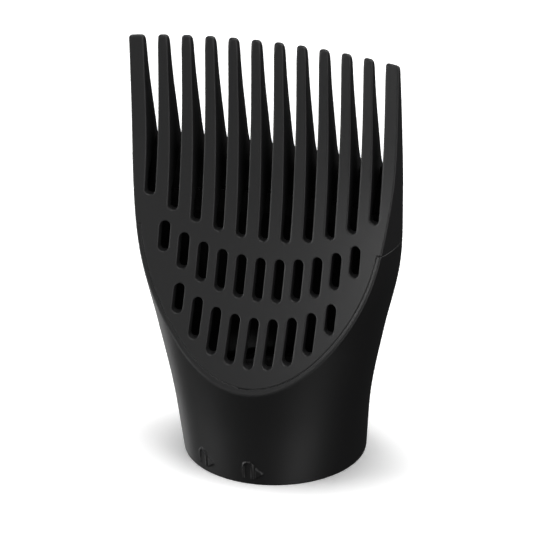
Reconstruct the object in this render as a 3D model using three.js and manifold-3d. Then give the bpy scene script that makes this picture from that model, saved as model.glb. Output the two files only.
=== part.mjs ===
// A comb nozzle for a hair dryer: a round socket that pushes over the dryer's barrel, a housing that flares
// into a wide flat head, and a concave slotted face that ends in a row of twelve comb teeth.
// Millimetres, +Z up. The face looks towards -Y and the socket's mouth lies on z = 0.
import * as THREE from "three";
import { mergeVertices } from "three/addons/utils/BufferGeometryUtils.js";
import Module from "manifold-3d";

const wasm = await Module();
wasm.setup();

// Housing: a section every SECTION_STEP above the mouth, each a front and a back half ellipse that meet on
// the section's widest line.
const HEIGHT = 120.4;
const SECTION_STEP = 20;
const HALF_WIDTH = [25.3, 27.5, 31.5, 35.8, 37, 37.2, 37.1];
const WIDEST_Y = [0, -3.2, -4.1, -3.2, -4.3, -6.2, -8.7];
const BACK_Y = [25.3, 24.7, 22.6, 18, 8, 2, -1];
const FRONT_Y = [-25.3, -26, -28.8, -34.3, -34.5, -27.5, -15.5];
const WALL = 2;
const RIM = 1.2;
const SIDES = 56;
const RING_PITCH = 8;

// Face: hollow across its width, upright down to FACE_BEND_Z and then swept forwards in an arc. Between
// TEETH_LOW_Z and TEETH_FULL_Z it eases forwards a little and loses a share of its hollow.
const FACE_Y = -4.6;
const FACE_BEND_Z = 104;
const FACE_SWEEP_RADIUS = 142;
const FACE_HOLLOW_RADIUS = 118;
const TEETH_LOW_Z = 68;
const TEETH_FULL_Z = 92;
const TEETH_FORWARD = 0.7;
const TEETH_FLATTER = 0.33;
const PLATE = 2.6;

// Teeth: TIP_DEPTH thick from front to back at the tip, and thicker further down. The row of tips is
// slightly crowned: from TIP_ROW_LOW_Z up, the teeth get shorter towards both ends of the row.
const TOOTH_PITCH = 6.26;
const GAPS = 11;
const TIP_DEPTH = 2.1;
const DEPTH_SLOPE = 0.095;
const DEPTH_CURVE = 0.0036;
const SHOULDER_BELOW_TIP = 28;
const SHOULDER_CURVE = 0.035;
const TIP_ROUND = 2.4;
const TIP_LAND = 0.7;
const TIP_CORNER = 0.6;
const TIP_ROW_RADIUS = 640;
const TIP_ROW_LOW_Z = 90;
const GAP_HALF_AT_ROOT = 1.3;
const GAP_HALF_AT_TIP = 1.75;
const GAP_FLOOR_Z = 65.4;
const GAP_FLOOR_RADIUS = 54;
const GAP_FLOOR_RISE = 1.3;
const ROOF_ABOVE_FLOOR = 2.8;

// Air slots: two rows of upright slots whose ends follow arcs that rise towards both sides.
const SLOT_PITCH = 5.35;
const SLOT_HALF_WIDTH = 1.4;
const UPPER_ROW = { count: 11, low: 50, lowRadius: 39, high: 61, highRadius: 51 };
const LOWER_ROW = { count: 9, low: 33.6, lowRadius: 25.5, high: 45.85, highRadius: 37 };

// Joint between the comb head and the socket body.
const PARTING_Z = 67.7;
const GAP = 0.3;
const LIP_DEPTH = 4.5;
const LIP_THICKNESS = 1.3;
const LIP_ROOT = 3.5;
const LEDGE_DEPTH = 1.4;
const LEDGE_TOP_Z = 61;

// Socket and its bayonet collar.
const BORE_RADIUS = 23;
const BORE_STEP_Z = 13.2;
const COLLAR_OUTER = 22.7;
const COLLAR_INNER = 21.5;
const COLLAR_LOW_Z = 0.8;
const FLANGE = 1.5;
const STOP_INNER = 19.6;
const LUG_COUNT = 3;
const LUG = { width: 8, reach: 1.4, height: 3, low: 2 };

// Alignment marks on the socket, raised by MARK_RELIEF: an open arch and a pointer beside it at each angle.
const MARK_RELIEF = 0.35;
const MARK_ANGLES = [-27, 6];
const MARK_LOW_Z = 1.9;
const MARK_ARCH = { middle: -2, half: 1.5, line: 0.55, spring: 5.4 };
const MARK_POINTER = { left: 0.2, right: 2.3, middle: 3.5 };

// Reach of the cutting solids, and the shortest edge that a finished solid keeps.
const REACH = 42;
const FAR = 60;
const GAP_REACH = 26;
const SLIVER = 0.02;
const degrees = THREE.MathUtils.degToRad;

// Catmull-Rom interpolation of values that stand SECTION_STEP apart in height.
function along(values, z) {
  const last = values.length - 1;
  const t = THREE.MathUtils.clamp(z / SECTION_STEP, 0, last);
  const i = Math.min(Math.floor(t), last - 1);
  const u = t - i;
  const b = values[i];
  const c = values[i + 1];
  const a = i > 0 ? values[i - 1] : 2 * b - c;
  const d = i + 2 <= last ? values[i + 2] : 2 * c - b;
  return b + 0.5 * u * (c - a + u * (2 * a - 5 * b + 4 * c - d + u * (3 * (b - c) + d - a)));
}

// How far an arc of this radius rises away from its lowest point.
function arcRise(x, radius) {
  return radius - Math.sqrt(radius * radius - x * x);
}

function faceY(x, z) {
  const drop = Math.max(0, FACE_BEND_Z - z);
  const teeth = THREE.MathUtils.smoothstep(z, TEETH_LOW_Z, TEETH_FULL_Z);
  const hollow = arcRise(x, FACE_HOLLOW_RADIUS) * (1 - TEETH_FLATTER * teeth);
  return FACE_Y - TEETH_FORWARD * teeth - arcRise(drop, FACE_SWEEP_RADIUS) - hollow;
}

// Front-to-back depth of the teeth, with the back corner of each tip rounded off.
function toothDepth(z) {
  const below = HEIGHT - z;
  const shoulder = Math.max(0, below - SHOULDER_BELOW_TIP);
  const full = TIP_DEPTH + DEPTH_SLOPE * below + DEPTH_CURVE * below ** 2 + SHOULDER_CURVE * shoulder ** 2;
  const t = THREE.MathUtils.clamp(1 - below / TIP_ROUND, 0, 1);
  return full - (full - TIP_LAND) * (1 - Math.sqrt(1 - t * t));
}

function combBackY(x, z) {
  return Math.min(faceY(x, z) + toothDepth(z), FAR);
}

// The floor of a tooth gap: level through the face plate, then rising towards the back.
function gapFloorZ(x) {
  return GAP_FLOOR_Z + arcRise(x, GAP_FLOOR_RADIUS);
}

function plateBackY(x) {
  return faceY(x, gapFloorZ(x)) + PLATE;
}

function roofZ(x, y) {
  return gapFloorZ(x) + ROOF_ABOVE_FLOOR + GAP_FLOOR_RISE * Math.max(0, y - plateBackY(x));
}

function gapHalfWidth(z, floor) {
  const t = THREE.MathUtils.clamp((z - floor) / (HEIGHT - floor), 0, 1);
  const corner = THREE.MathUtils.clamp((z - HEIGHT + TIP_CORNER) / TIP_CORNER, 0, 1);
  const flare = TIP_CORNER * (1 - Math.sqrt(1 - corner * corner));
  const ease = 0.5 - 0.5 * Math.cos(Math.PI * t);
  return THREE.MathUtils.lerp(GAP_HALF_AT_ROOT, GAP_HALF_AT_TIP, ease) + flare;
}

// Moves every vertex of a three.js geometry by map(x, y, z) and returns it as a solid.
function solidFrom(geometry, map) {
  const position = geometry.getAttribute("position");
  for (let i = 0; i < position.count; i++) {
    position.setXYZ(i, ...map(position.getX(i), position.getY(i), position.getZ(i)));
  }
  geometry.deleteAttribute("normal");
  geometry.deleteAttribute("uv");
  const merged = mergeVertices(geometry, 1e-4);
  const vertProperties = merged.getAttribute("position").array;
  const triVerts = new Uint32Array(merged.index.array);
  return new wasm.Manifold(new wasm.Mesh({ numProp: 3, vertProperties, triVerts }));
}

// The housing's outline between two heights, moved inwards by inset.
function housing(inset, low, high) {
  const rings = Math.max(1, Math.ceil((high - low) / RING_PITCH));
  const tube = new THREE.CylinderGeometry(1, 1, 1, SIDES, rings);
  return solidFrom(tube, (x, y, z) => {
    const height = low + (y + 0.5) * (high - low);
    const widest = along(WIDEST_Y, height);
    const reach = -z > 0 ? along(BACK_Y, height) - widest : widest - along(FRONT_Y, height);
    return [x * (along(HALF_WIDTH, height) - inset), widest - z * (reach - inset), height];
  });
}

// The solid between two surfaces y = front(x, z) and y = back(x, z), with its rows closer towards the top.
function slab(front, back, low, high) {
  const box = new THREE.BoxGeometry(2 * REACH, 1, 1, 14, 1, Math.ceil((high - low) / 5));
  return solidFrom(box, (x, y, z) => {
    const height = low + (high - low) * Math.sin((z + 0.5) * (Math.PI / 2));
    const share = Math.max(0, (height - TIP_ROW_LOW_Z) / (HEIGHT - TIP_ROW_LOW_Z));
    return [x, y < 0 ? front(x, height) : back(x, height), height - share * arcRise(x, TIP_ROW_RADIUS)];
  });
}

// The solid under the roof of the air chamber.
function underRoof() {
  const box = new THREE.BoxGeometry(2 * REACH, 2 * REACH, 1, 14, 28, 1);
  return solidFrom(box, (x, y, z) => [x, y, z < 0 ? -FAR : roofZ(x, y)]);
}

function tube(radius, low, high) {
  const cylinder = new THREE.CylinderGeometry(radius, radius, 1, SIDES, 1);
  return solidFrom(cylinder, (x, y, z) => [x, -z, low + (y + 0.5) * (high - low)]);
}

// A tooth gap: narrow with a round floor at the root, wider and with eased corners at the tips. It is cut
// level through the face plate, and behind it the floor climbs to the back of the head.
function toothGap(x) {
  const floor = gapFloorZ(x);
  const flank = [0.1, 0.25, 0.4, 0.55, 0.7, 0.85].map((t) => THREE.MathUtils.lerp(floor, HEIGHT, t));
  const heights = [...flank, HEIGHT - TIP_CORNER, HEIGHT - TIP_CORNER / 3, HEIGHT, HEIGHT + 4];
  const side = heights.map((z) => [gapHalfWidth(z, floor), z]);
  const outline = new THREE.Shape();
  outline.absarc(0, floor + GAP_HALF_AT_ROOT, GAP_HALF_AT_ROOT, Math.PI, 2 * Math.PI);
  side.forEach(([half, z]) => outline.lineTo(half, z));
  side.reverse().forEach(([half, z]) => outline.lineTo(-half, z));
  const prism = new THREE.ExtrudeGeometry(outline, { depth: 2, steps: 2, bevelEnabled: false, curveSegments: 8 });
  const plateBack = plateBackY(x);
  return solidFrom(prism, (u, v, w) => {
    const y = [plateBack + GAP_REACH, plateBack, -FAR][Math.round(w)];
    const climb = GAP_FLOOR_RISE * Math.max(0, y - plateBack);
    const upper = THREE.MathUtils.clamp((v - floor) / (HEIGHT - floor), 0, 1);
    return [x + u, y, v + climb * (1 - upper)];
  });
}

// An upright air slot with round ends, cut straight back through the face plate only.
function airSlot(x, low, high) {
  const outline = new THREE.Shape();
  outline.absarc(0, high - SLOT_HALF_WIDTH, SLOT_HALF_WIDTH, 0, Math.PI);
  outline.absarc(0, low + SLOT_HALF_WIDTH, SLOT_HALF_WIDTH, Math.PI, 2 * Math.PI);
  const prism = new THREE.ExtrudeGeometry(outline, { depth: 1, bevelEnabled: false, curveSegments: 7 });
  const behind = faceY(x, high) + PLATE + 1;
  return solidFrom(prism, (u, v, w) => [x + u, w > 0.5 ? -FAR : behind, v]);
}

function row(count, pitch, make) {
  return Array.from({ length: count }, (_, i) => make((i - (count - 1) / 2) * pitch));
}

function slotRow({ count, low, lowRadius, high, highRadius }) {
  const slot = (x) => airSlot(x, low + arcRise(x, lowRadius), high + arcRise(x, highRadius));
  return row(count, SLOT_PITCH, slot);
}

// Face plate, teeth and the upper shell round the sides and back, with a lip that plugs into the body.
function combHead() {
  const low = PARTING_Z + GAP / 2;
  const outside = housing(0, low, HEIGHT).intersect(slab(faceY, combBackY, low - 1, HEIGHT));
  const chamberFront = (x, z) => faceY(x, z) + PLATE;
  const chamberBack = (x, z) => combBackY(x, z) - WALL;
  const chamber = housing(WALL, low - 1, 98).intersect(slab(chamberFront, chamberBack, low - 2, 98));
  const tongue = slab(faceY, chamberFront, 20, low + 1).intersect(housing(RIM + GAP, 20, low + 1));
  const behindFace = slab(faceY, () => FAR, 40, 90);
  const plug = housing(WALL + GAP, PARTING_Z - LIP_DEPTH, low + 0.6);
  const anchor = housing(WALL / 2, low, PARTING_Z + LIP_ROOT);
  const hollow = housing(WALL + GAP + LIP_THICKNESS, PARTING_Z - LIP_DEPTH - 1, PARTING_Z + LIP_ROOT + 1);
  const lip = plug.add(anchor).subtract(hollow).intersect(behindFace);
  let head = outside.subtract(chamber.intersect(underRoof())).add(tongue).add(lip);
  for (const cut of [...row(GAPS, TOOTH_PITCH, toothGap), ...slotRow(UPPER_ROW), ...slotRow(LOWER_ROW)]) {
    head = head.subtract(cut);
  }
  return head;
}

// A raised mark: its outline in the plane that faces the given angle, standing proud of the socket.
function mark(outline, angle) {
  const prism = new THREE.ExtrudeGeometry(outline, { depth: 1, bevelEnabled: false, curveSegments: 8 });
  const turn = degrees(angle);
  const relief = housing(-MARK_RELIEF, 0.5, 12);
  const beam = solidFrom(prism, (u, v, w) => {
    const out = THREE.MathUtils.lerp(BORE_RADIUS + WALL / 2, REACH, w);
    return [u * Math.cos(turn) + out * Math.sin(turn), u * Math.sin(turn) - out * Math.cos(turn), v];
  });
  return beam.intersect(relief);
}

function alignmentMarks() {
  const { middle, half, line, spring } = MARK_ARCH;
  const arch = new THREE.Shape();
  arch.moveTo(middle + half, MARK_LOW_Z);
  arch.absarc(middle, spring, half, 0, Math.PI);
  arch.lineTo(middle - half, MARK_LOW_Z);
  arch.lineTo(middle - half + line, MARK_LOW_Z);
  arch.absarc(middle, spring, half - line, Math.PI, 0, true);
  arch.lineTo(middle + half - line, MARK_LOW_Z);
  const pointer = new THREE.Shape();
  pointer.moveTo(MARK_POINTER.left, MARK_LOW_Z);
  pointer.lineTo(MARK_POINTER.right, MARK_POINTER.middle);
  pointer.lineTo(MARK_POINTER.left, 2 * MARK_POINTER.middle - MARK_LOW_Z);
  return MARK_ANGLES.flatMap((angle) => [mark(arch, angle), mark(pointer, angle)]);
}

// Socket and flared lower housing. The face plate's tongue lies in a rebate in its wall, inside a rim that is
// RIM wide, and rests on an inner ledge.
function socketBody() {
  const high = PARTING_Z - GAP / 2;
  const behindFace = slab(faceY, () => FAR, -2, high + 1);
  const inside = housing(WALL, BORE_STEP_Z, high + 1).add(tube(BORE_RADIUS, -1, BORE_STEP_Z + 1));
  const ledgeFront = (x, z) => faceY(x, z) + PLATE + GAP;
  const ledgeBack = (x, z) => ledgeFront(x, z) + LEDGE_DEPTH;
  const ledgeBand = housing(WALL / 2, 20, LEDGE_TOP_Z).subtract(housing(WALL + LEDGE_DEPTH, 19, LEDGE_TOP_Z + 1));
  const ledge = slab(ledgeFront, ledgeBack, 19, LEDGE_TOP_Z + 1).intersect(ledgeBand);
  const rebate = slab(() => -FAR, ledgeFront, 20, high + 1).intersect(housing(RIM, 20, high + 1));
  let body = housing(0, 0, high).subtract(inside).subtract(rebate).add(ledge).intersect(behindFace);
  for (const raised of alignmentMarks()) {
    body = body.add(raised);
  }
  return body;
}

// Ring inside the socket: a round bore for the barrel, a flange that sits on the body's step, an inner stop
// for the barrel's rim, and lugs that lock behind the barrel's ribs.
function bayonetCollar() {
  const stepTop = BORE_STEP_Z + GAP;
  const flangeTop = stepTop + FLANGE;
  const sleeve = tube(COLLAR_OUTER, COLLAR_LOW_Z, flangeTop).add(housing(WALL + GAP, stepTop, flangeTop));
  const bore = tube(COLLAR_INNER, 0, flangeTop).add(tube(STOP_INNER, flangeTop - 1, flangeTop + FLANGE + 1));
  let collar = sleeve.add(tube(COLLAR_OUTER, flangeTop - 0.5, flangeTop + FLANGE)).subtract(bore);
  for (let i = 0; i < LUG_COUNT; i++) {
    const turn = (i * 2 * Math.PI) / LUG_COUNT;
    const block = new THREE.BoxGeometry(LUG.width, LUG.reach + 0.8, LUG.height);
    const middle = COLLAR_INNER + 0.4 - LUG.reach / 2;
    collar = collar.add(
      solidFrom(block, (x, y, z) => {
        const out = middle - y;
        const across = x * Math.cos(turn) + out * Math.sin(turn);
        return [across, x * Math.sin(turn) - out * Math.cos(turn), z + LUG.low + LUG.height / 2];
      }),
    );
  }
  return collar;
}

function part(name, solid, material) {
  const { vertProperties, triVerts } = solid.simplify(SLIVER).getMesh();
  const geometry = new THREE.BufferGeometry();
  geometry.setAttribute("position", new THREE.BufferAttribute(vertProperties, 3));
  geometry.setIndex(new THREE.BufferAttribute(triVerts, 1));
  geometry.computeVertexNormals();
  const mesh = new THREE.Mesh(geometry, material);
  mesh.name = name;
  return mesh;
}

const object = new THREE.Group();
object.add(
  part("comb_head", combHead(), new THREE.MeshStandardMaterial({ color: 0x232324, roughness: 0.55, metalness: 0 })),
  part("socket_body", socketBody(), new THREE.MeshStandardMaterial({ color: 0x1b1b1c, roughness: 0.5, metalness: 0 })),
  part("bayonet_collar", bayonetCollar(), new THREE.MeshStandardMaterial({ color: 0x161617, roughness: 0.6, metalness: 0 })),
);

// The part's origin is the middle of its footprint, on the plane that the socket's mouth rests on.
const footprint = new THREE.Box3().setFromObject(object);
object.position.y = -(footprint.min.y + footprint.max.y) / 2;

export default object;
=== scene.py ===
import math
from concurrent.futures import ThreadPoolExecutor

import bmesh
import bpy
import numpy as np
from mathutils import Matrix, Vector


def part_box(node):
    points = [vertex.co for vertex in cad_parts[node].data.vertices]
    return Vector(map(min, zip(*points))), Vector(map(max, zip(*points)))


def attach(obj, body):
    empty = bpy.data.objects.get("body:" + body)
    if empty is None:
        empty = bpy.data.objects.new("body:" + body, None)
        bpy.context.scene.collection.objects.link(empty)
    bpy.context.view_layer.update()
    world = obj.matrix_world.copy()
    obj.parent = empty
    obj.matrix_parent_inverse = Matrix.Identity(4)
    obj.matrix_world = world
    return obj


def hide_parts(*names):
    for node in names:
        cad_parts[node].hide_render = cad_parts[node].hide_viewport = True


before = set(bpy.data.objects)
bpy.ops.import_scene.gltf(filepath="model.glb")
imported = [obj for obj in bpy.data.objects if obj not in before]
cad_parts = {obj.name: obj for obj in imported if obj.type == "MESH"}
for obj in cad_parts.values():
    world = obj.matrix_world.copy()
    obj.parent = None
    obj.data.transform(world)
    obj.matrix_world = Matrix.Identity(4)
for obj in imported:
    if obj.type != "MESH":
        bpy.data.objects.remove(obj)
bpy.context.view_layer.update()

MM = 0.001

# Housing: its half width, widest line, back and front every SECTION_STEP above the mouth.
SECTION_STEP = 20.0
HALF_WIDTH = [25.3, 27.5, 31.5, 35.8, 37, 37.2, 37.1]
WIDEST_Y = [0, -3.2, -4.1, -3.2, -4.3, -6.2, -8.7]
BACK_Y = [25.3, 24.7, 22.6, 18, 8, 2, -1]
FRONT_Y = [-25.3, -26, -28.8, -34.3, -34.5, -27.5, -15.5]
HEIGHT, WALL, RIM, PLATE = 120.4, 2.0, 1.2, 2.6

# Face and teeth.
FACE_Y, FACE_BEND_Z, FACE_SWEEP, FACE_HOLLOW = -4.6, 104.0, 142.0, 118.0
TEETH_LOW, TEETH_FULL, TEETH_FORWARD, TEETH_FLATTER = 68.0, 92.0, 0.7, 0.33
TOOTH_PITCH, LAST_GAP = 6.26, 5
TIP_DEPTH, DEPTH_SLOPE, DEPTH_CURVE = 2.1, 0.095, 0.0036
SHOULDER_BELOW, SHOULDER_CURVE = 28.0, 0.035
TIP_ROUND, TIP_LAND, TIP_LEAST, TIP_ROW, TIP_ROW_LOW = 2.4, 0.7, 0.5, 640.0, 90.0
GAP_ROOT, GAP_TIP, GAP_REACH = 1.3, 1.75, 26.0
TIP_FLARE, FLARE_BELOW = 0.35, 1.8
FLOOR_Z, FLOOR_RADIUS, FLOOR_RISE, ROOF_ABOVE = 65.4, 54.0, 1.3, 2.8

# Air slots: pitch, half width, and for each row its outermost slot and its low and high arcs.
SLOT_PITCH, SLOT_HALF = 5.35, 1.4
SLOT_ROWS = [(5, 50.0, 39.0, 61.0, 51.0), (4, 33.6, 25.5, 45.85, 37.0)]

# Joint: the parting line and its gaps, how far the tongue, the plug and the lip reach past it, and the ledge.
PARTING_Z, SEAM, CLEAR = 67.7, 0.02, 0.3
TONGUE_TOP, PLUG_TOP = 1.15, 0.75
LIP_DEPTH, LIP_THICK, LIP_ROOT = 4.5, 1.3, 3.5
LEDGE_DEPTH, LEDGE_LOW, LEDGE_TOP = 1.4, 20.0, 61.0

# Socket and its bayonet collar.
BORE, STEP_Z = 23.0, 13.2
COLLAR_OUTER, COLLAR_INNER, COLLAR_LOW, FLANGE, STOP_INNER = 22.7, 21.5, 0.8, 1.5, 19.6
LUGS, LUG_HALF, LUG_LEVEL, LUG_TALL, LUG_INSET, LUG_DEPTH = 3, 4.0, 3.5, 1.5, 0.3, 1.1

# Alignment marks: an arch (middle, half width, line, spring height) and a pointer (left, right, level). They
# stand on the front of the socket only, further out than MARK_INNER.
MARK_RELIEF, MARK_ANGLES, MARK_LOW, MARK_INNER = 0.35, (-27.0, 6.0), 1.9, 20.0
MARK_ARCH, MARK_POINTER = (-2.0, 1.5, 0.55, 5.4), (0.2, 2.3, 3.5)

# Edge radii. The tooth edges go from R_TOOTH to R_TIP over R_TIP_EASE, from R_TIP_BELOW under the tips.
R_EDGE, R_SLOT, R_TOOTH, R_TIP, R_SEAM, R_FOOT = 0.38, 0.3, 0.42, 0.85, 0.14, 0.2
R_TIP_BELOW, R_TIP_EASE = 4.0, 3.0
R_INSIDE, R_MARK_TOP, R_MARK_FOOT = 0.15, 0.15, 0.12
R_COLLAR, R_FLANGE, R_LUG = 0.3, 0.2, 0.4

# How far a cut runs past what it cuts, a distance that counts as far away, and one that counts as none.
PAST, FAR, TINY = 1.0, 50.0, 1e-6

# The socket's axis stands this far behind the row frame's origin.
AXIS_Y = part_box("socket_body")[1][1] / MM - BACK_Y[0]


# ---------------------------------------------------------------- surfaces, as signed distances in mm
def along(values, z):
    """Catmull-Rom interpolation of values that stand SECTION_STEP apart in height."""
    last = len(values) - 1
    v = np.array([2 * values[0] - values[1], *values, 2 * values[-1] - values[-2]], float)
    t = np.clip(z / SECTION_STEP, 0, last)
    i = np.minimum(t.astype(int), last - 1)
    u = t - i
    a, b, c, d = v[i], v[i + 1], v[i + 2], v[i + 3]
    return b + 0.5 * u * (c - a + u * (2 * a - 5 * b + 4 * c - d + u * (3 * (b - c) + d - a)))


def rise(x, radius):
    """How far an arc of this radius rises from its lowest point, level past its end."""
    return radius - np.sqrt(np.maximum(radius * radius - x * x, 1.0))


def both(a, b, radius):
    """The solid inside both a and b, with a round edge where they meet."""
    outside = np.hypot(np.maximum(a + radius, 0), np.maximum(b + radius, 0))
    return np.minimum(-radius, np.maximum(a, b)) + outside


def either(a, b, radius):
    return -both(-a, -b, radius)


def without(a, b, radius):
    return both(a, -b, radius)


def oval(u, v, half_u, half_v):
    """Distance from an ellipse, where u and v are shares of its half axes."""
    q = np.hypot(u, v) + TINY
    return (q - 1) * q / (np.hypot(u / half_u, v / half_v) + TINY)


def housing(p, inset):
    x, y, z = p
    half = along(HALF_WIDTH, z) - inset
    middle = along(WIDEST_Y, z)
    reach = np.where(y > middle, along(BACK_Y, z) - middle, middle - along(FRONT_Y, z)) - inset
    return oval(x / half, (y - middle) / reach, half, reach)


def face_y(x, z):
    t = np.clip((z - TEETH_LOW) / (TEETH_FULL - TEETH_LOW), 0, 1)
    teeth = t * t * (3 - 2 * t)
    hollow = rise(x, FACE_HOLLOW) * (1 - TEETH_FLATTER * teeth)
    return FACE_Y - TEETH_FORWARD * teeth - rise(np.maximum(0, FACE_BEND_Z - z), FACE_SWEEP) - hollow


def sweep_slope(z):
    drop = np.maximum(0, FACE_BEND_Z - z)
    return drop / np.sqrt(FACE_SWEEP**2 - drop**2)


def face_tilt(x, z):
    """Length of the slope of y - face_y(x, z)."""
    slope_x = x / np.sqrt(FACE_HOLLOW**2 - x * x)
    return np.sqrt(1 + sweep_slope(z) ** 2 + slope_x**2)


def behind_face(p, depth):
    """Distance behind the surface that lies this deep behind the face."""
    x, y, z = p
    return (y - face_y(x, z) - depth) / face_tilt(x, z)


def row_height(x, z):
    """Height with the crown of the tip row taken out."""
    crown = rise(x, TIP_ROW)
    span = HEIGHT - TIP_ROW_LOW
    return z + crown * np.maximum(z - TIP_ROW_LOW, 0) / (span - crown)


def before_face(p):
    x, y, z = p
    h = row_height(x, z)
    return (face_y(x, h) - y) / face_tilt(x, h)


def tooth_depth(h):
    below = np.maximum(HEIGHT - h, 0)
    shoulder = np.maximum(0, below - SHOULDER_BELOW)
    return TIP_DEPTH + DEPTH_SLOPE * below + DEPTH_CURVE * below**2 + SHOULDER_CURVE * shoulder**2


def behind_teeth(p, inset=0.0):
    x, y, z = p
    h = row_height(x, z)
    below = np.maximum(HEIGHT - h, 0)
    shoulder = np.maximum(0, below - SHOULDER_BELOW)
    slope = DEPTH_SLOPE + 2 * DEPTH_CURVE * below + 2 * SHOULDER_CURVE * shoulder - sweep_slope(h)
    back = face_y(x, h) + tooth_depth(h) - inset
    return (y - back) / np.sqrt(1 + slope**2 + (x / FACE_HOLLOW) ** 2)


def tip(p):
    """Top of the teeth, with the back corner rounded off."""
    x, y, z = p
    h = row_height(x, z)
    back, top = behind_teeth(p), h - HEIGHT
    deep = np.maximum(tooth_depth(h) - TIP_LAND, TIP_LEAST)
    u = (y - face_y(x, h) - TIP_LAND) / deep
    v = (h - HEIGHT + TIP_ROUND) / TIP_ROUND
    return np.where((u > 0) & (v > 0), oval(u, v, deep, TIP_ROUND), np.maximum(back, top))


def floor_z(x):
    return FLOOR_Z + rise(x, FLOOR_RADIUS)


def plate_back(x):
    return face_y(x, floor_z(x)) + PLATE


def under_roof(p):
    x, y, z = p
    past = y - plate_back(x)
    roof = floor_z(x) + ROOF_ABOVE + FLOOR_RISE * np.maximum(0, past)
    return (z - roof) / np.where(past > 0, math.hypot(1, FLOOR_RISE), 1)


def tooth_gaps(p):
    """Gaps with a round floor that is level through the plate and climbs behind it, flared at the tips."""
    x, y, z = p
    middle = TOOTH_PITCH * np.clip(np.round(x / TOOTH_PITCH), -LAST_GAP, LAST_GAP)
    floor = floor_z(middle)
    past = y - plate_back(middle)
    climb = FLOOR_RISE * np.clip(past, 0, GAP_REACH)
    free = HEIGHT - floor
    v = np.where(z - climb < floor, z - climb, (z - climb * HEIGHT / free) / (1 - climb / free))
    v = np.minimum(v, z)
    t = np.clip((v - floor) / free, 0, 1)
    corner = np.clip((v - HEIGHT + FLARE_BELOW) / FLARE_BELOW, 0, 1)
    half = GAP_ROOT + (GAP_TIP - GAP_ROOT) * (0.5 - 0.5 * np.cos(math.pi * t))
    half = half + TIP_FLARE * (1 - np.sqrt(1 - corner**2))
    dx, dv = np.abs(x - middle), v - floor - GAP_ROOT
    ring = np.hypot(dx, dv) + TINY
    steep = np.sqrt((dx / ring) ** 2 + (dv / ring) ** 2 * np.where(past > 0, 1 + FLOOR_RISE**2, 1))
    return np.where(dv > 0, dx - half, (ring - GAP_ROOT) / steep)


def air_slots(p):
    x, y, z = p
    found = np.full_like(x, FAR)
    for last, low, low_radius, high, high_radius in SLOT_ROWS:
        middle = SLOT_PITCH * np.clip(np.round(x / SLOT_PITCH), -last, last)
        bottom = low + rise(middle, low_radius)
        top = high + rise(middle, high_radius)
        reach = np.maximum(np.abs(z - (top + bottom) / 2) - (top - bottom) / 2 + SLOT_HALF, 0)
        slot = np.hypot(x - middle, reach) - SLOT_HALF
        found = np.minimum(found, np.maximum(slot, y - face_y(middle, top) - PLATE - PAST))
    return found


def turned(p, degrees):
    """Distances across and outwards, as seen from this angle round the socket's axis; 0 is the front."""
    x, y, z = p
    c, s = math.cos(math.radians(degrees)), math.sin(math.radians(degrees))
    return x * c + y * s, x * s - y * c


# ---------------------------------------------------------------- the three pieces
def air_chamber(p):
    chamber = np.maximum(np.maximum(housing(p, WALL), -behind_face(p, PLATE)), behind_teeth(p, WALL))
    return np.maximum(chamber, under_roof(p))


def tongue(p, face):
    """The plate below the parting line, which fills the rebate in the body's wall."""
    plate = behind_face(p, PLATE)
    filled = both(housing(p, RIM + SEAM), face, R_SEAM)
    return np.maximum(np.maximum(filled, plate), p[2] - PARTING_Z - TONGUE_TOP)


def lip(p, face, low):
    """The ring that plugs into the body, rooted in the wall above the parting line."""
    z = p[2]
    plug = np.maximum(PARTING_Z - LIP_DEPTH - z, z - PARTING_Z - PLUG_TOP)
    plug = np.maximum(housing(p, WALL + CLEAR), plug)
    anchor = np.maximum(housing(p, WALL / 2), np.maximum(low - z, z - PARTING_Z - LIP_ROOT))
    hollow = housing(p, WALL + CLEAR + LIP_THICK)
    return np.maximum(np.maximum(np.minimum(plug, anchor), -hollow), face)


def comb_head(p):
    z = p[2]
    low = PARTING_Z + SEAM / 2
    face = before_face(p)
    skin = both(both(housing(p, 0), face, R_EDGE), tip(p), R_TIP)
    skin = both(skin, low - z, R_SEAM)
    head = np.minimum(without(skin, air_chamber(p), R_INSIDE), tongue(p, face))
    head = np.minimum(head, lip(p, face, low))
    near_tip = np.clip((z - HEIGHT + R_TIP_BELOW) / R_TIP_EASE, 0, 1)
    head = without(head, tooth_gaps(p), R_TOOTH + (R_TIP - R_TOOTH) * near_tip)
    return without(head, air_slots(p), R_SLOT)


def marks(p):
    x, y, z = p
    middle, half, line, spring = MARK_ARCH
    left, right, level = MARK_POINTER
    tall, wide = level - MARK_LOW, right - left
    found = np.full_like(x, FAR)
    for angle in MARK_ANGLES:
        u, out = turned(p, angle)
        ring = np.hypot(u - middle, np.maximum(z - spring, 0)) - half + line / 2
        arch = np.maximum(np.abs(ring) - line / 2, MARK_LOW - z)
        flank = ((u - left) * tall + (np.abs(z - level) - tall) * wide) / math.hypot(tall, wide)
        pointer = np.maximum(flank, left - u)
        found = np.minimum(found, np.maximum(np.minimum(arch, pointer), MARK_INNER - out))
    return found


def ledge(p, back):
    """The shelf in the body that the tongue rests on."""
    shelf = np.maximum(np.maximum(-back, behind_face(p, PLATE + CLEAR + LEDGE_DEPTH)), p[2] - LEDGE_TOP)
    shelf = np.maximum(shelf, np.maximum(housing(p, WALL / 2), -housing(p, WALL + LEDGE_DEPTH)))
    return np.maximum(shelf, LEDGE_LOW - p[2])


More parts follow.
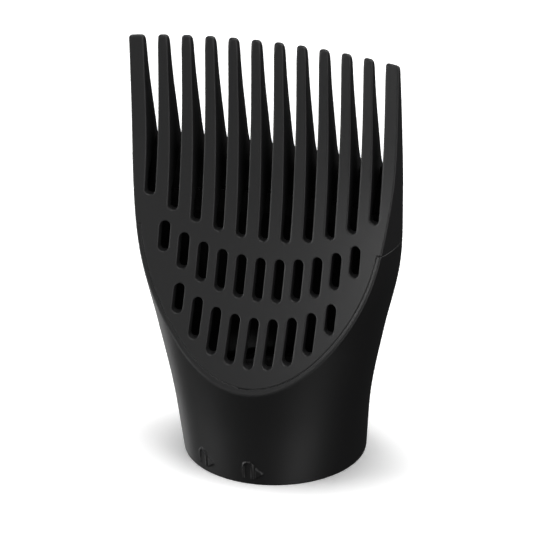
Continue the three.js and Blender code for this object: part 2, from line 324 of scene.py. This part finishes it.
def socket_body(p):
    x, y, z = p
    high = PARTING_Z - SEAM / 2
    raised = both(housing(p, -MARK_RELIEF), marks(p), R_MARK_TOP)
    skin = both(either(housing(p, 0), raised, R_MARK_FOOT), before_face(p), R_EDGE)
    skin = both(both(skin, z - high, R_SEAM), -z, R_FOOT)
    bore = np.maximum(np.hypot(x, y) - BORE, z - STEP_Z - PAST)
    inside = np.minimum(np.maximum(housing(p, WALL), STEP_Z - z), bore)
    back = behind_face(p, PLATE + CLEAR)
    rebate = np.maximum(housing(p, RIM), back)
    shell = without(skin, np.minimum(inside, rebate), R_SEAM)
    return np.minimum(shell, ledge(p, back))


def lugs(p):
    x, y, z = p
    found = np.full_like(x, FAR)
    for i in range(LUGS):
        u, out = turned(p, i * 360 / LUGS)
        face = both(np.abs(u) - LUG_HALF, np.abs(z - LUG_LEVEL) - LUG_TALL, R_LUG)
        depth = np.abs(out - COLLAR_INNER + LUG_INSET) - LUG_DEPTH
        found = np.minimum(found, both(face, depth, R_COLLAR))
    return found


def bayonet_collar(p):
    x, y, z = p
    r = np.hypot(x, y)
    low_flange = STEP_Z + CLEAR
    top = low_flange + FLANGE
    sleeve = both(r - COLLAR_OUTER, np.maximum(COLLAR_LOW - z, z - top - FLANGE), R_COLLAR)
    flange = both(housing(p, WALL + CLEAR), np.maximum(low_flange - z, z - top), R_FLANGE)
    bore = np.minimum(np.maximum(r - COLLAR_INNER, z - top), r - STOP_INNER)
    return np.minimum(without(np.minimum(sleeve, flange), bore, R_COLLAR), lugs(p))


# ---------------------------------------------------------------- meshing
# Points go to the threads in chunks. A slope is taken over SLOPE_STEP mm, and a point that is drawn onto a
# surface moves LONGEST_STEP mm at most each time.
THREADS, CHUNK = 4, 60000
SLOPE_STEP, LONGEST_STEP = 0.004, 0.3
LEAST_SLOPE, LEAST_LENGTH = 0.2, 1e-9

# The grid is sampled once for each block of cells, and for each cell within NEAR_BLOCKS of the surface. It
# runs past the node's box by its margins, in cells.
BLOCK, NEAR_BLOCKS = 4, 1.6
MARGIN_LOW, MARGIN_HIGH = 1.3, 2.0

# A crossing keeps EDGE_END away from the ends it is closed in between, and CORNER_PULL holds a vertex near
# the middle of its crossings.
EDGE_END, CORNER_PULL = 0.02, 0.04


def evaluate(shape, points):
    """Signed distance at each point, worked out by several threads."""

    def part(piece):
        x, y, z = piece.T
        return shape((x, y - AXIS_Y, z))

    if len(points) <= CHUNK:
        return part(points)
    pieces = [points[i : i + CHUNK] for i in range(0, len(points), CHUNK)]
    with ThreadPoolExecutor(THREADS) as pool:
        return np.concatenate(list(pool.map(part, pieces)))


def gradient(shape, points, value):
    columns = [evaluate(shape, points + SLOPE_STEP * axis) - value for axis in np.eye(3)]
    return np.stack(columns, 1) / SLOPE_STEP


def unit(vectors):
    return vectors / np.maximum(np.linalg.norm(vectors, axis=1, keepdims=True), LEAST_LENGTH)


def draw_onto(shape, points, rounds):
    """Moves points along the slope of the shape until they lie on its surface."""
    for _ in range(rounds):
        value = evaluate(shape, points)
        slope = gradient(shape, points, value)
        step = -(value / np.maximum((slope**2).sum(1), LEAST_SLOPE))[:, None] * slope
        length = np.linalg.norm(step, axis=1, keepdims=True)
        points = points + step * np.minimum(1, LONGEST_STEP / np.maximum(length, LEAST_LENGTH))
    return points


def sampled(shape, low, high, cell):
    """The shape on a grid, exact near its surface and blocky away from it."""
    wide = cell * BLOCK
    count = np.ceil((high - low) / wide).astype(int)
    blocks = np.stack(np.meshgrid(*[np.arange(n) for n in count], indexing="ij"), -1).reshape(-1, 3)
    rough = evaluate(shape, low + (blocks + 0.5 - 0.5 / BLOCK) * wide).reshape(count)
    grid = rough.repeat(BLOCK, 0).repeat(BLOCK, 1).repeat(BLOCK, 2)
    near = np.argwhere(np.abs(grid) < NEAR_BLOCKS * wide)
    grid[tuple(near.T)] = evaluate(shape, low + near * cell)
    return grid


def crossing(shape, low, cell, start, step, f0, f1):
    """Where the surface crosses each grid edge, closed in on from both ends."""
    t = f0 / (f0 - f1)
    t0, t1 = np.zeros_like(t), np.ones_like(t)
    for _ in range(2):
        f = evaluate(shape, low + (start + t[:, None] * step) * cell)
        same = (f < 0) == (f0 < 0)
        t0, f0 = np.where(same, t, t0), np.where(same, f, f0)
        t1, f1 = np.where(same, t1, t), np.where(same, f1, f)
        t = t0 + (t1 - t0) * np.clip(f0 / (f0 - f1), EDGE_END, 1 - EDGE_END)
    return low + (start + t[:, None] * step) * cell


def crossed_edges(shape, grid, low, cell, axis):
    """For each grid edge along one axis that crosses the surface: the crossing, the normal there, the four
    cells round the edge, and whether the edge runs inwards."""
    inside = grid < 0
    strides = np.array([grid.shape[1] * grid.shape[2], grid.shape[2], 1])
    keep, ahead = [slice(None)] * 3, [slice(None)] * 3
    keep[axis], ahead[axis] = slice(0, -1), slice(1, None)
    start = np.argwhere(inside[tuple(keep)] != inside[tuple(ahead)])
    step = np.eye(3, dtype=int)[axis]
    ends = grid[tuple(start.T)], grid[tuple((start + step).T)]
    points = crossing(shape, low, cell, start, step, *ends)
    normals = unit(gradient(shape, points, evaluate(shape, points)))
    b, c = strides[(axis + 1) % 3], strides[(axis + 2) % 3]
    corner = start @ strides
    cells = np.stack([corner, corner - b, corner - b - c, corner - c], 1)
    return points, normals, cells, ~inside[tuple(start.T)]


def plane_meetings(crossings, normals, flat, total):
    """For each cell, the point where the tangent planes of its crossings meet, held near their middle."""

    def summed(values):
        return np.bincount(flat, np.repeat(values, 4), total)

    count = np.bincount(flat, minlength=total)
    middle = np.stack([summed(crossings[:, i]) for i in range(3)], 1) / count[:, None]
    square = np.empty((total, 3, 3))
    for i in range(3):
        for j in range(3):
            square[:, i, j] = summed(normals[:, i] * normals[:, j])
    plane = (normals * crossings).sum(1)
    right = np.stack([summed(normals[:, i] * plane) for i in range(3)], 1)
    right -= np.einsum("nij,nj->ni", square, middle)
    square += CORNER_PULL * np.eye(3)
    return middle + np.linalg.solve(square, right[:, :, None])[:, :, 0]


def contoured(shape, low, high, cell):
    """Dual contouring: one vertex in each cell that the surface crosses, and a face round each crossing."""
    grid = sampled(shape, low, high, cell)
    edges = [crossed_edges(shape, grid, low, cell, axis) for axis in range(3)]
    crossings, normals, cells, inwards = map(np.concatenate, zip(*edges))
    ids, quads = np.unique(cells, return_inverse=True)
    quads = quads.reshape(-1, 4)
    vertices = plane_meetings(crossings, normals, quads.reshape(-1), len(ids))
    corner = low + cell * np.stack(np.unravel_index(ids, grid.shape), 1)
    vertices = np.clip(vertices, corner, corner + cell)
    return vertices, np.where(inwards[:, None], quads[:, ::-1], quads)


def thinned(mesh, ratio):
    """Replaces the mesh by one with this share of its triangles, in a new object."""
    name = mesh.name
    piece = bpy.data.objects.new(name, mesh)
    bpy.context.collection.objects.link(piece)
    piece.modifiers.new("thin", "DECIMATE").ratio = ratio
    graph = bpy.context.evaluated_depsgraph_get()
    piece.data = bpy.data.meshes.new_from_object(piece.evaluated_get(graph))
    piece.modifiers.clear()
    bpy.data.meshes.remove(mesh)
    piece.data.name = name
    return piece


def build(node, shape, cell, target):
    """A closed mesh of the shape, thinned where it is flat, with the shape's own normals."""
    low, high = (np.array(corner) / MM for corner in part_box(node))
    points, quads = contoured(shape, low - MARGIN_LOW * cell, high + MARGIN_HIGH * cell, cell)
    mesh = bpy.data.meshes.new(node + "_moulded")
    mesh.from_pydata(draw_onto(shape, points, rounds=2) * MM, [], quads.tolist())
    piece = thinned(mesh, min(1.0, target / (2 * len(quads))))
    mesh = piece.data
    points = np.empty(len(mesh.vertices) * 3)
    mesh.vertices.foreach_get("co", points)
    points = draw_onto(shape, points.reshape(-1, 3) / MM, rounds=3)
    mesh.vertices.foreach_set("co", (points * MM).reshape(-1))
    mesh.polygons.foreach_set("use_smooth", np.ones(len(mesh.polygons), bool))
    normals = unit(gradient(shape, points, evaluate(shape, points)))
    mesh.normals_split_custom_set_from_vertices(normals.tolist())
    return piece


# ---------------------------------------------------------------- materials
# Noise scales are per metre. The clouds change the colour by CLOUD_SHARE, and the grain changes the roughness
# by GRAIN_ROUGHNESS and the surface by GRAIN_HEIGHT metres.
IOR = 1.5
CLOUDS, CLOUD_SHARE = 60, 0.1
GRAIN_SCALE, GRAIN_HEIGHT, GRAIN_STRENGTH, GRAIN_ROUGHNESS = 2600, 0.00005, 0.3, 0.05


def plastic(name, colour, roughness):
    """Satin black plastic: slightly cloudy in colour, with a fine grain in its roughness and surface."""
    material = bpy.data.materials.new(name)
    material.use_nodes = True
    nodes, links = material.node_tree.nodes, material.node_tree.links
    shader = nodes["Principled BSDF"]
    shader.inputs["IOR"].default_value = IOR
    place = nodes.new("ShaderNodeTexCoord").outputs["Object"]

    def noise(scale, detail):
        node = nodes.new("ShaderNodeTexNoise")
        node.inputs["Scale"].default_value = scale
        node.inputs["Detail"].default_value = detail
        links.new(place, node.inputs["Vector"])
        return node.outputs["Fac"]

    mix = nodes.new("ShaderNodeMix")
    mix.data_type = "RGBA"
    mix.inputs["A"].default_value = (*[c * (1 - CLOUD_SHARE) for c in colour], 1)
    mix.inputs["B"].default_value = (*[c * (1 + CLOUD_SHARE) for c in colour], 1)
    links.new(noise(CLOUDS, 3), mix.inputs["Factor"])
    links.new(mix.outputs["Result"], shader.inputs["Base Color"])
    grain = noise(GRAIN_SCALE, 2)
    spread = nodes.new("ShaderNodeMapRange")
    spread.inputs["To Min"].default_value = roughness - GRAIN_ROUGHNESS
    spread.inputs["To Max"].default_value = roughness + GRAIN_ROUGHNESS
    links.new(grain, spread.inputs["Value"])
    links.new(spread.outputs["Result"], shader.inputs["Roughness"])
    bump = nodes.new("ShaderNodeBump")
    bump.inputs["Strength"].default_value = GRAIN_STRENGTH
    bump.inputs["Distance"].default_value = GRAIN_HEIGHT
    links.new(grain, bump.inputs["Height"])
    links.new(bump.outputs["Normal"], shader.inputs["Normal"])
    return material


CELL = 0.3
# For each node: its shape, about how many faces it gets, and its plastic (name, colour and roughness).
PIECES = {
    "comb_head": (comb_head, 170000, ("satin_black_head", (0.0062, 0.0062, 0.0065), 0.5)),
    "socket_body": (socket_body, 90000, ("satin_black_body", (0.0052, 0.0052, 0.0055), 0.46)),
    "bayonet_collar": (bayonet_collar, 30000, ("matt_black_collar", (0.006, 0.006, 0.0063), 0.6)),
}
pieces = []
for name, (shape, target, look) in PIECES.items():
    piece = build(name, shape, CELL, target)
    pieces.append(piece)
    piece.data.materials.append(plastic(*look))
    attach(piece, "root")
    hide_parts(name)


# ---------------------------------------------------------------- camera, floor and light
# The camera: its optics, where it looks, and its distance, azimuth, elevation and roll from there.
LENS, SENSOR, CLIP = 198.47, 36, (0.05, 20)
CAMERA_TARGET = (0.1, AXIS_Y, 51.1)
CAMERA_STAND = (821.6, 18.86, 25.29, -0.29)

# Floor and backdrop, in metres. The floor's glow is painted light: a low glow near the middle lifts the
# overhead box's shadow, and it rises to full over the distances of FLOOR_FADE, where it makes up for that
# box's light falling off.
FLOOR_REACH, DOME_RADIUS, FLOOR_WHITE = 8, 7, 0.95
FLOOR_GLOW, FLOOR_FADE, AMBIENT = 0.24, (0.15, 0.9), 0.02

# Soft boxes round the object: azimuth, elevation, width and height in mm, and radiance.
SOFT_BOXES = {
    "left": (-60, 2, 500, 950, 4.3),
    "front": (-8, 14, 800, 480, 0.85),
    "front_right": (46, -6, 480, 900, 2.9),
    "right_high": (105, 50, 1000, 500, 4.6),
    "right_low": (120, 15, 500, 500, 1.2),
    "left_low": (-120, -20, 500, 500, 2.0),
    "top": (0, 84, 600, 600, 4.5),
}
# A low box that lights the comb head only, and the box overhead that lights the floor.
HEAD_BOX = (2, -28, 500, 500, 0.9)
FLOOR_BOX = (-90, 89.3, 600, 600, 14)
BOX_DISTANCE, BOX_TARGET = 1000.0, (0, 0, 60)


def stand(name, data, target, distance, azimuth, elevation, roll=0.0):
    """Stands a camera or a light at a distance from its target, turned to face it; azimuth 0 is the front."""
    azimuth, elevation, roll = map(math.radians, (azimuth, elevation, roll))
    flat = math.cos(elevation)
    back = np.array([math.sin(azimuth) * flat, -math.cos(azimuth) * flat, math.sin(elevation)])
    right = np.array([math.cos(azimuth), math.sin(azimuth), 0])
    up = np.cross(back, right)
    side = math.cos(roll) * right + math.sin(roll) * up
    top = math.cos(roll) * up - math.sin(roll) * right
    place = (np.array(target) + distance * back) * MM
    rows = np.vstack([np.column_stack([side, top, back, place]), [0, 0, 0, 1]])
    made = bpy.data.objects.new(name, data)
    made.matrix_world = Matrix(rows.tolist())
    bpy.context.collection.objects.link(made)
    return made


def camera():
    data = bpy.data.cameras.new("camera")
    data.lens, data.sensor_width = LENS, SENSOR
    data.clip_start, data.clip_end = CLIP
    bpy.context.scene.camera = stand("camera", data, CAMERA_TARGET, *CAMERA_STAND)


def glowing(name, colour, glow):
    """A matt material whose glow rises to full with the distance from the middle; on the floor this glow is
    painted light.
    """
    material = bpy.data.materials.new(name)
    material.use_nodes = True
    nodes, links = material.node_tree.nodes, material.node_tree.links
    shader = nodes["Principled BSDF"]
    shader.inputs["Base Color"].default_value = (colour, colour, colour, 1)
    shader.inputs["Roughness"].default_value = 1
    shader.inputs["Specular IOR Level"].default_value = 0
    shader.inputs["Emission Color"].default_value = (1, 1, 1, 1)
    place = nodes.new("ShaderNodeTexCoord").outputs["Object"]
    distance = nodes.new("ShaderNodeVectorMath")
    distance.operation = "LENGTH"
    fade = nodes.new("ShaderNodeMapRange")
    fade.inputs["From Min"].default_value, fade.inputs["From Max"].default_value = FLOOR_FADE
    fade.inputs["To Min"].default_value, fade.inputs["To Max"].default_value = glow, 1
    links.new(place, distance.inputs[0])
    links.new(distance.outputs["Value"], fade.inputs["Value"])
    links.new(fade.outputs["Result"], shader.inputs["Emission Strength"])
    return material


def staged(name, mesh, colour, glow):
    """A floor or backdrop: it takes light and shadow but throws nothing back at the plastic."""
    mesh.materials.append(glowing(name, colour, glow))
    made = bpy.data.objects.new(name, mesh)
    bpy.context.collection.objects.link(made)
    made.visible_diffuse = made.visible_glossy = made.visible_shadow = False
    return made


def surroundings():
    """A backdrop all round, and the floor, which is returned."""
    r = FLOOR_REACH
    ground = bpy.data.meshes.new("floor")
    ground.from_pydata([(-r, -r, 0), (r, -r, 0), (r, r, 0), (-r, r, 0)], [], [(0, 1, 2, 3)])
    dome = bpy.data.meshes.new("backdrop")
    form = bmesh.new()
    bmesh.ops.create_uvsphere(form, u_segments=32, v_segments=16, radius=DOME_RADIUS)
    form.to_mesh(dome)
    form.free()
    staged("backdrop", dome, 0, 1)
    # The floor's glow is painted light: it lifts the overhead box's shadow near the middle and brightens the
    # floor further out.
    return staged("floor", ground, FLOOR_WHITE, FLOOR_GLOW)


def soft_box(name, receivers, azimuth, elevation, width, height, radiance):
    data = bpy.data.lights.new(name, "AREA")
    data.shape, data.size, data.size_y = "RECTANGLE", width * MM, height * MM
    data.energy = radiance * math.pi * width * height * MM**2
    box = stand(name, data, BOX_TARGET, BOX_DISTANCE, azimuth, elevation)
    box.visible_camera = False
    box.light_linking.receiver_collection = receivers


def light(ground, pieces):
    """Lights the plastic with the soft boxes, and the floor with its own box."""
    lit = {"lit_floor": [ground], "lit_plastic": pieces, "lit_head": pieces[:1]}
    for name, objects in lit.items():
        lit[name] = bpy.data.collections.new(name)
        for made in objects:
            lit[name].objects.link(made)
    for name, values in SOFT_BOXES.items():
        soft_box(name, lit["lit_plastic"], *values)
    soft_box("head_low", lit["lit_head"], *HEAD_BOX)
    soft_box("overhead", lit["lit_floor"], *FLOOR_BOX)


def ambient():
    world = bpy.data.worlds.new("world")
    world.use_nodes = True
    background = world.node_tree.nodes["Background"]
    background.inputs["Color"].default_value = (1, 1, 1, 1)
    background.inputs["Strength"].default_value = AMBIENT
    bpy.context.scene.world = world


camera()
light(surroundings(), pieces)
ambient()
bpy.context.scene.view_settings.view_transform = "Standard"
